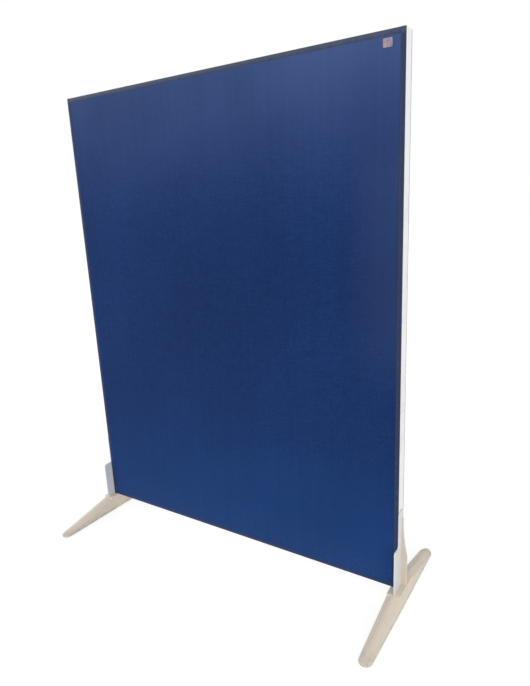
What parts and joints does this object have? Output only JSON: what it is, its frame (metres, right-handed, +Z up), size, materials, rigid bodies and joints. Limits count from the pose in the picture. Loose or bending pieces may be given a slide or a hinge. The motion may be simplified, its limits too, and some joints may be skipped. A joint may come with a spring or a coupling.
{
  "type": "acoustic divider screen",
  "caption": "Free-standing acoustic divider screen: flat fabric-faced panel with dark beads and pale edge trims, held at each end by an upright bracket on a long low foot with a web.",
  "frame": {"origin": "on the floor, below the middle of the panel", "axes": "+X along the panel to the right, +Y through the panel to its rear face, +Z up"},
  "size_m": [1.24, 0.56, 1.56],
  "materials": {
    "woven_fabric": "plain-woven blue upholstery cloth, matt",
    "acoustic_felt": "grey needled felt",
    "mineral_core": "pressed fibre slab",
    "softwood": "planed softwood, unfinished",
    "dark_bead": "dark blue-grey extruded bead, matt",
    "pale_trim": "off-white extrusion, satin",
    "bracket_paint": "pale grey powder coat, fine texture",
    "foot_paint": "cream-grey powder coat, fine texture",
    "zinc_steel": "zinc-plated steel",
    "black_rubber": "black rubber, matt"
  },
  "bodies": {
    "root": {"left_stile": "softwood", "right_stile": "softwood", "top_rail": "softwood", "middle_rail": "softwood", "bottom_rail": "softwood", "frame_dowels": "softwood", "upper_core": "mineral_core", "lower_core": "mineral_core", "front_felt": "acoustic_felt", "rear_felt": "acoustic_felt", "front_fabric": "woven_fabric", "rear_fabric": "woven_fabric", "front_bead_left": "dark_bead", "front_bead_right": "dark_bead", "front_bead_top": "dark_bead", "front_bead_bottom": "dark_bead", "rear_bead_left": "dark_bead", "rear_bead_right": "dark_bead", "rear_bead_top": "dark_bead", "rear_bead_bottom": "dark_bead", "left_edge_trim": "pale_trim", "right_edge_trim": "pale_trim", "top_edge_trim": "pale_trim", "bottom_edge_trim": "pale_trim", "left_upright": "bracket_paint", "right_upright": "bracket_paint", "left_panel_screws": "zinc_steel", "right_panel_screws": "zinc_steel", "left_foot": "foot_paint", "right_foot": "foot_paint", "left_foot_bolts": "zinc_steel", "right_foot_bolts": "zinc_steel", "left_floor_pads": "black_rubber", "right_floor_pads": "black_rubber"}
  },
  "joints": []
}
